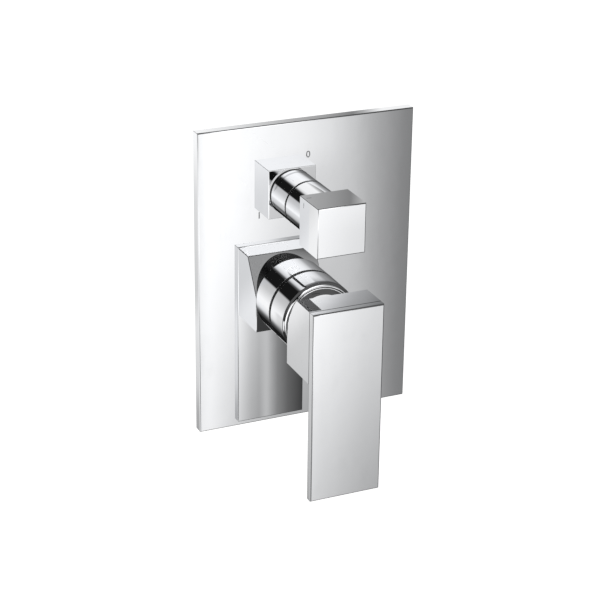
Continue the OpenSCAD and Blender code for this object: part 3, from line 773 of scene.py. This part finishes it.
def stroke(name, centre, along, across, out, length, width=0.6 * MM):
    """A thin pad with round ends, lying on a face: its middle, its two ways and its outward way."""
    form = bmesh.new()
    rim = []
    for end, first in ((1, -90), (-1, 90)):
        for i in range(9):
            a = math.radians(first + 180 * i / 8)
            rim.append(centre + along * (end * (length - width) / 2 + math.cos(a) * width / 2)
                       + across * (math.sin(a) * width / 2))
    low = [form.verts.new(p - out * 0.02 * MM) for p in rim]
    high = [form.verts.new(p + out * 0.03 * MM) for p in rim]
    form.faces.new(high)
    form.faces.new(low[::-1])
    for i in range(len(rim)):
        j = (i + 1) % len(rim)
        form.faces.new((low[i], low[j], high[j], high[i]))
    bmesh.ops.recalc_face_normals(form, faces=form.faces)
    mesh = written(form, bpy.data.meshes.new(name))
    finished(mesh, number_paint)
    piece = link(name, mesh)
    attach(piece, "diverter_turn")
    print(name, len(mesh.polygons), "faces")


X, Y, Z = Vector((1, 0, 0)), Vector((0, 1, 0)), Vector((0, 0, 1))
knob_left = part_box("diverter_knob")[0].x
knob_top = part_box("diverter_knob")[1].z
INDEX_LEVEL = -81.2 * MM
stroke("knob_index_top", Vector((knob_left + 3.2 * MM, INDEX_LEVEL, knob_top)), X, Y, Z, 3.0 * MM)
stroke("knob_index_side", Vector((knob_left, INDEX_LEVEL, knob_top - 4.2 * MM)), Z, Y, -X, 3.2 * MM)

# %% [markdown]
# ## Seal rings on the spigots
# Behind the plate each brass spigot pushes into its valve with rubber rings. The same ring again
# and again along an axis is a job for Geometry Nodes: one ring, copied along a line of points,
# with its radius, cord, count and pitch as inputs.

# %% Set the seal rings
rings = bpy.data.node_groups.new("ring_row", "GeometryNodeTree")
source = sockets_of(rings, {"Mesh": "Geometry", "Axis X": 0.0, "Axis Z": 0.0,
                            "First level": 0.003, "Ring radius": 0.016, "Cord radius": 0.001,
                            "Pitch": 0.005, "Count": 2, "Finish": "Material"}, "Rings")
ring = swept(rings, circle(rings, 96, source["Ring radius"]),
             circle(rings, 14, source["Cord radius"]))
first = add(rings, "ShaderNodeCombineXYZ", {"X": source["Axis X"], "Y": source["First level"],
            "Z": source["Axis Z"]})
step = add(rings, "ShaderNodeCombineXYZ", {"Y": source["Pitch"]})
row = add(rings, "GeometryNodeMeshLine", {"Count": source["Count"], "Offset": step.outputs[0],
          "Start Location": first.outputs[0]}, mode="OFFSET")
placed = add(rings, "GeometryNodeInstanceOnPoints", {"Points": row.outputs[0], "Instance": ring,
             "Rotation": UPRIGHT})
coated(rings, placed.outputs[0], source["Finish"])

for name, axis, radius in (("mixer", WALL_MIXER, 16.6), ("diverter", WALL_DIVERTER, 9.1)):
    piece = link(name + "_spigot_rings", bpy.data.meshes.new(name + "_spigot_rings"))
    run_tree(piece, rings, Axis_X=axis.x, Axis_Z=axis.z, First_level=3.5 * MM, Pitch=4.5 * MM,
             Ring_radius=radius * MM, Cord_radius=0.75 * MM, Count=2, Finish=rubber)
    closed(piece)
    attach(piece, "base")
    print(piece.name, len(piece.data.polygons), "faces")

# %% [markdown]
# ## The studio
# Chrome is a picture of its room, so the room is built like a product photographer's, from plain
# panels. A lamp is a panel whose material only glows.

# %% Write the panels


def panel(name, corners, mat):
    """A flat piece of the studio, from its corners."""
    mesh = bpy.data.meshes.new(name)
    mesh.from_pydata(corners, [], [tuple(range(len(corners)))])
    finished(mesh, mat)
    obj = link(name, mesh)
    return obj


def standing(level, left, right, low, high):
    """The corners of a panel that stands parallel to the wall."""
    return [(left, level, low), (right, level, low), (right, level, high), (left, level, high)]


def bare_material(name):
    """A new material without a shader, and the object's own coordinates."""
    mat, tree, shader, spot = material(name)
    tree.nodes.remove(shader)
    return mat, tree, spot


def shown(tree, shader):
    """Sends a shader to the surface."""
    fill(tree, tree.nodes["Material Output"], {"Surface": shader.outputs[0]})


def ramp_of(tree, value, stops):
    """A grey ramp over a value, from a list of (place, brightness); brightness may pass one."""
    start, end = stops[0][0], stops[-1][0]
    most = max(grey for place, grey in stops)
    ramp = add(tree, "ShaderNodeValToRGB", {0: spread(tree, value, start, end, curve="LINEAR")})
    points = ramp.color_ramp.elements
    for i, (place, grey) in enumerate(stops):
        at = (place - start) / (end - start)
        point = points[0] if i == 0 else points[-1] if i == len(stops) - 1 else points.new(at)
        point.color = (grey / most, grey / most, grey / most, 1)
    return times(tree, ramp.outputs[0], most)


print("studio helpers ready")

# %% [markdown]
# One large light wall stands a metre in front of the trim. Every cylinder that points at it
# mirrors a ring of it, so its light is laid out as a wheel: brightness goes by the angle round the
# middle, counted from the right over the top. A black spoke at the upper left draws the black
# stripe along each cylinder, the bright spokes beside it draw the white ones, and all is dark
# below. On the right the wheel also fades beyond a certain reach.
#
# Three flags then take some light from single stretches of it, each in its own reach and on its
# own side, and a low lamp adds a little at the lower left.

# %% Lay out the wheel of light
WHEEL = ((-90, 0.02), (-45, 0.04), (-20, 0.35), (0, 0.45), (24, 0.85), (36, 1.65), (48, 2.1),
         (62, 2.35), (98, 2.35), (108, 1.55), (113, 0.25), (118, 0.02), (150, 0.02), (154, 1.25),
         (170, 1.45), (202, 2.35), (214, 2.3), (226, 1.95), (232, 1.6), (236.5, 1.05),
         (241.5, 0.5), (248, 0.18), (260, 0.02))     # degrees and brightness
CREST = ((0.62, 1.0), (0.66, 1.0), (0.72, 0.93), (0.76, 0.8), (0.80, 0.3), (0.84, 0.2),
         (0.95, 0.2))                                # reach in metres and what is left
WALL_RIM = (0.96, 1.0)

lights, gi, go = group("studio_lights", {}, ("Strength",))
x, y, z = split(lights, gi["Vector"])
turn = calc(lights, "ARCTAN2", times(lights, x, -1.0), z)
degrees = calc(lights, "ADD", calc(lights, "DEGREES", turn), 90.0)
reach = length_of(lights, x, z)


def zone(value, low, high, to_low=0.0, to_high=1.0):
    """A mask over the light wall, or a value that changes there."""
    return spread(lights, value, low, high, to_low, to_high)


def less(light, *masks):
    """The light, less what the masks take away."""
    return times(lights, light, calc(lights, "SUBTRACT", 1.0, times(lights, *masks)))


crest = between(lights, zone(x, -0.2, -0.05), 1.0, ramp_of(lights, reach, CREST))
wheel = times(lights, ramp_of(lights, degrees, WHEEL), crest, zone(reach, *WALL_RIM, 1, 0))
wheel = less(wheel, zone(reach, 0.70, 0.76, 0, 0.5), zone(reach, 0.84, 0.80), zone(x, 0.32, 0.4))
wheel = less(wheel, zone(reach, 0.645, 0.615, 0, 0.42), zone(x, 0.43, 0.5))
low_lamp = times(lights, zone(reach, 0.61, 0.55, 0, 0.4), zone(z, -0.34, -0.42),
                 zone(x, 0.0, -0.1))
wheel = calc(lights, "MAXIMUM", wheel, low_lamp)
wheel = less(wheel, zone(apart(lights, reach, 0.705), 0.025, 0.07, 0, 0.24),
             zone(z, -0.24, -0.34), zone(x, -0.3, -0.4))
print("wheel from", WHEEL[0][0], "to", WHEEL[-1][0], "degrees")

# %% [markdown]
# The flat fronts mirror only the lower right part of the light wall. There the wheel gives way to
# one long fall-off from left to right, which draws the grey gradient across the plate. It sinks
# towards the floor, so that the blade and the bar get darker from top to bottom too.

# %% Add the fall-off for the flat fronts
FALL = ((0.25, 1.0), (0.31, 0.98), (0.37, 0.91), (0.44, 0.79), (0.477, 0.68), (0.508, 0.54),
        (0.53, 0.42), (0.55, 0.335), (0.58, 0.225), (0.65, 0.12), (0.75, 0.05))
FULL = 1.75               # its brightness where nothing sinks it

sink = times(lights, zone(z, -0.3, -0.72, 0, 0.75), zone(x, 0.27, 0.37))
step = times(lights, zone(z, -0.27, -0.33, 0, 0.25), zone(x, 0.34, 0.44))
sink = times(lights, calc(lights, "ADD", sink, step), zone(x, 0.46, 0.53, 1, 0.12))
facing = times(lights, ramp_of(lights, x, FALL), calc(lights, "SUBTRACT", FULL, sink))
corner = times(lights, zone(x, 0.25, 0.32), zone(z, -0.1, -0.18))
lights.links.new(between(lights, corner, wheel, facing), go["Strength"])
print("light group has", len(lights.nodes), "nodes")

# %% [markdown]
# The group now lights the wall. The wall's own material adds one narrow black pole that hangs
# from the top and draws a short dark line on the dome. The wall lights the trim and is mirrored
# in it, but the camera looks through it.

# %% Put up the light wall
POLE_X, POLE_EDGE = -0.078, (0.036, 0.052)
POLE_FOOT = (0.678, 0.688)
WIDE, TALL = 0.95, 1.0    # half sizes of the walls, in metres


def lamp(name, level, mat, tree, strength):
    """A wall that glows with a given strength. The camera doesn't see it."""
    shown(tree, add(tree, "ShaderNodeEmission", {"Strength": strength}))
    wall = panel(name, standing(level, -WIDE, WIDE, -TALL, TALL), mat)
    wall.visible_camera = False
    print(name, [round(v, 2) for v in wall.dimensions])
    return wall


mat, tree, spot = bare_material("light_wall")
x, y, z = split(tree, spot)
beside = spread(tree, apart(tree, x, POLE_X), *POLE_EDGE, 0.03, 1)
pole = between(tree, spread(tree, z, *POLE_FOOT), 1.0, beside)
lamp("light_wall", -1, mat, tree, times(tree, use(tree, lights, spot)["Strength"], pole))

# %% [markdown]
# Many rays leave a cylinder, pass the plate's edge and go on to the back. Were the plate larger,
# they would meet the light wall in its mirror. So the same picture stands once more behind the
# trim, as dim as a mirror would show it, and each stripe on the cylinders runs on unbroken. Its
# upper right corner, which only the top faces mirror, has a ramp of its own. This wall is there
# for reflections only.

# %% Set the rear wall
SHELF = ((0.3, 0.85), (0.42, 0.7), (0.48, 0.5), (0.515, 0.33), (0.53, 0.6), (0.555, 1.3),
         (0.7, 1.3))
IN_MIRROR = 0.62          # what chrome gives back

mat, tree, spot = bare_material("rear_wall")
x, y, z = split(tree, spot)
mirrored = times(tree, use(tree, lights, spot)["Strength"], IN_MIRROR)
corner = times(tree, spread(tree, x, 0.28, 0.44), spread(tree, z, 0.35, 0.45))
strength = between(tree, corner, mirrored, ramp_of(tree, x, SHELF))
rear_wall = lamp("rear_wall", 1, mat, tree, strength)
rear_wall.visible_diffuse = False

# %% [markdown]
# A catalogue picture keeps its back plate clean: the pieces in front of it aren't repeated in it.
# That takes three steps. All pieces are hidden from mirrored rays. A plain mirror board, a hair
# behind the plate's face, stands in for the plate. And the neck and knob get twins that only
# mirrored rays meet. A twin works out at which level a ray began, and lets it through unless
# that is the front of the flange beneath, where the photograph does show the neck again.
#
# The level is found from the length of the ray. Seen from the camera, every ray that leaves a
# front climbs the same share of its length towards the room, so where it is now, less what it has
# climbed, is where it began.

# %% Write the twins
CLIMB_OUT, CLIMB_UP = 0.84, 0.39      # the share, for a front and for a top
AT_FRONT = (0.0008, 0.0012)           # as near as this, in metres, a ray began at a front
TWIN_TONE = (0.58, 0.585, 0.595)


def began_off(tree, spot, way, climb, face):
    """How far from a face a ray began. The way is the face's outward one, and the face's own
    place is measured along it."""
    now = add(tree, "ShaderNodeVectorMath", {0: spot, 1: way}, operation="DOT_PRODUCT")
    length = add(tree, "ShaderNodeLightPath").outputs["Ray Length"]
    began = calc(tree, "SUBTRACT", now.outputs["Value"], times(tree, length, climb))
    return apart(tree, began, face)


def mirror(name, tone, rough):
    """A plain chrome for what only mirrored rays meet."""
    mat, tree, shader, spot = material(name)
    fill(tree, shader, {"Base Color": (*tone, 1), "Metallic": 1.0, "Roughness": rough})
    return mat, tree, shader, spot


twin_mat, tree, shader, spot = mirror("mirrored_twin", TWIN_TONE, 0.04)
off = began_off(tree, spot, (0, -1, 0), CLIMB_OUT, -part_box("diverter_flange")[0].y)
clear = add(tree, "ShaderNodeBsdfTransparent")
mix = add(tree, "ShaderNodeMixShader", {0: spread(tree, off, *AT_FRONT, 1, 0),
          1: clear.outputs[0], 2: shader.outputs[0]})
shown(tree, mix)


OFF_FLANGE = Vector((0.5, -0.8, -0.3))


def twin(name, axis=None, radius=0.0):
    """The outer skin of a piece, a hair smaller, which moves with it. What doesn't face the
    flange is left out, because a ray can pass only so many clear skins."""
    piece = bpy.data.objects[name]
    skin = opened(piece.data)
    away = [f for f in skin.faces if f.normal.dot(OFF_FLANGE) > 0.2]
    bmesh.ops.delete(skin, geom=away, context="FACES")
    if axis:
        off = {f: f.calc_center_median() - axis for f in skin.faces}
        inner = [f for f in off if math.hypot(off[f].x, off[f].z) < radius]
        bmesh.ops.delete(skin, geom=inner, context="FACES")
    for v in skin.verts:
        v.co -= v.normal * 0.1 * MM
    mesh = written(skin, bpy.data.meshes.new(name + "_twin"))
    mesh.polygons.foreach_set("use_smooth", [bool(axis)] * len(mesh.polygons))
    finished(mesh, twin_mat)
    copy = link(name + "_twin", mesh)
    copy.parent = piece
    return copy


OUTSIDE = (NECK - 0.3) * MM
twins = [twin("turned_diverter_sleeve", WALL_DIVERTER, OUTSIDE),
         twin("turned_diverter_neck", WALL_DIVERTER, OUTSIDE), twin("soft_diverter_knob")]
low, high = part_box("wall_plate")
board = standing(low.y + 0.1 * MM, low.x, high.x, low.z, high.z)
twins.append(panel("mirror_board", board, mirror("mirror_board", CHROME, 0.02)[0]))
print("twins:", [o.name for o in twins])

# %% [markdown]
# The fronts of the two flanges are half in the shade of the round parts, and the left end of the
# block's top has the dark hub behind it. A gel hovers in front of each: a clear sheet of painted
# shade, which dims only the rays that began at that face.

# %% Hang the gels


def gel(name, way, climb, face, near, passed, corners):
    """A sheet that passes on a share of the light that a face mirrors. Near is how close to the
    face a ray must have begun. The share may be a number or change over the sheet."""
    mat, tree, spot = bare_material(name)
    fits = spread(tree, began_off(tree, spot, way, climb, face), *near, 1, 0)
    if callable(passed):
        passed = passed(tree, spot)
    shown(tree, add(tree, "ShaderNodeBsdfTransparent", {"Color": between(tree, fits, 1.0, passed)}))
    return panel(name, corners, mat)


def front_gel(name, node, low_z, high_z, passed):
    """A gel 3 mm in front of a node, between two heights in mm."""
    low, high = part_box(node)
    corners = standing(low.y - 3 * MM, low.x, high.x + 3 * MM, low_z * MM, high_z * MM)
    return gel(name, (0, -1, 0), CLIMB_OUT, -low.y, AT_FRONT, passed, corners)


low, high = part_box("lever_block")
top, front, end = high.z + 1 * MM, low.y + 3 * MM, low.x + 10 * MM
corners = [(low.x, front, top), (end, front, top), (end, high.y, top), (low.x, high.y, top)]


def left_end(tree, spot):
    """Painted shade at the block's left end, and clear from 9 mm on."""
    x = split(tree, spot)["X"]
    return spread(tree, x, low.x + 8.6 * MM, low.x + 9.2 * MM, 0.13, 1.0)


twins.append(gel("block_gel", (0, 0, 1), CLIMB_UP, high.z, (0.0001, 0.00017), left_end, corners))
twins.append(front_gel("mixer_gel", "mixer_flange", -32, 14, 0.05))
twins.append(front_gel("diverter_gel", "diverter_flange", 40, 84, 0.66))

for obj in scene.objects:
    if obj.type == "MESH" and obj.name not in ("light_wall", "rear_wall"):
        obj.visible_glossy = obj in twins
for obj in twins:
    obj.visible_camera = obj.visible_diffuse = False
    obj.visible_shadow = obj.visible_transmission = False
print("met by mirrored rays only:", [o.name for o in twins])

# %% [markdown]
# The floor is plain and pale, and far enough below the trim that no hard shadow shows. It glows,
# which lifts it to the white of the backdrop.

# %% Lay the floor
FLOOR_REACH, FLOOR_LEVEL = 9, -0.62

floor_mat, tree, shader, spot = material("pale_floor")
fill(tree, shader, {"Base Color": (0.9, 0.9, 0.9, 1), "Roughness": 0.8,
                    "Emission Color": (1, 1, 1, 1), "Emission Strength": 1.0})
corners = [(x * FLOOR_REACH, y * FLOOR_REACH, FLOOR_LEVEL)
           for x, y in ((-1, -1), (1, -1), (1, 1), (-1, 1))]
floor = panel("floor", corners, floor_mat)
floor.visible_glossy = False
print("floor", [round(v, 2) for v in floor.dimensions])

# %% [markdown]
# The world around is what soft edges and back faces mirror: nearly black below, and dark grey
# above, which outlines the pieces. Far to the left stands a white card for the thin edges that
# face left. Its lower front part is dimmer, for the blade's chamfer. To the camera itself the
# room is plain white, as in a catalogue.

# %% Colour the world
FLOOR_DARK, CEILING_DARK = 0.05, 0.17
CARD, CARD_DIM = 1.6, 1.1

world = bpy.data.worlds.new("studio")
scene.world = world
world.use_nodes = True
tree = world.node_tree
tree.nodes.clear()
x, y, z = split(tree, add(tree, "ShaderNodeTexCoord").outputs["Generated"])
room = spread(tree, z, -0.4, 0.6, FLOOR_DARK, CEILING_DARK)
dim = times(tree, spread(tree, z, -0.38, -0.4, 0, CARD_DIM), spread(tree, y, -0.34, -0.36))
card = times(tree, spread(tree, x, -0.74, -0.79), spread(tree, z, -0.62, -0.5),
             calc(tree, "SUBTRACT", CARD, dim), spread(tree, z, -0.2, -0.28))
room = calc(tree, "ADD", room, card)
seen = add(tree, "ShaderNodeLightPath").outputs["Is Camera Ray"]
backdrop = add(tree, "ShaderNodeBackground", {"Strength": between(tree, seen, room, 1.0)})
add(tree, "ShaderNodeOutputWorld", {"Surface": backdrop.outputs[0]})
print("world set")
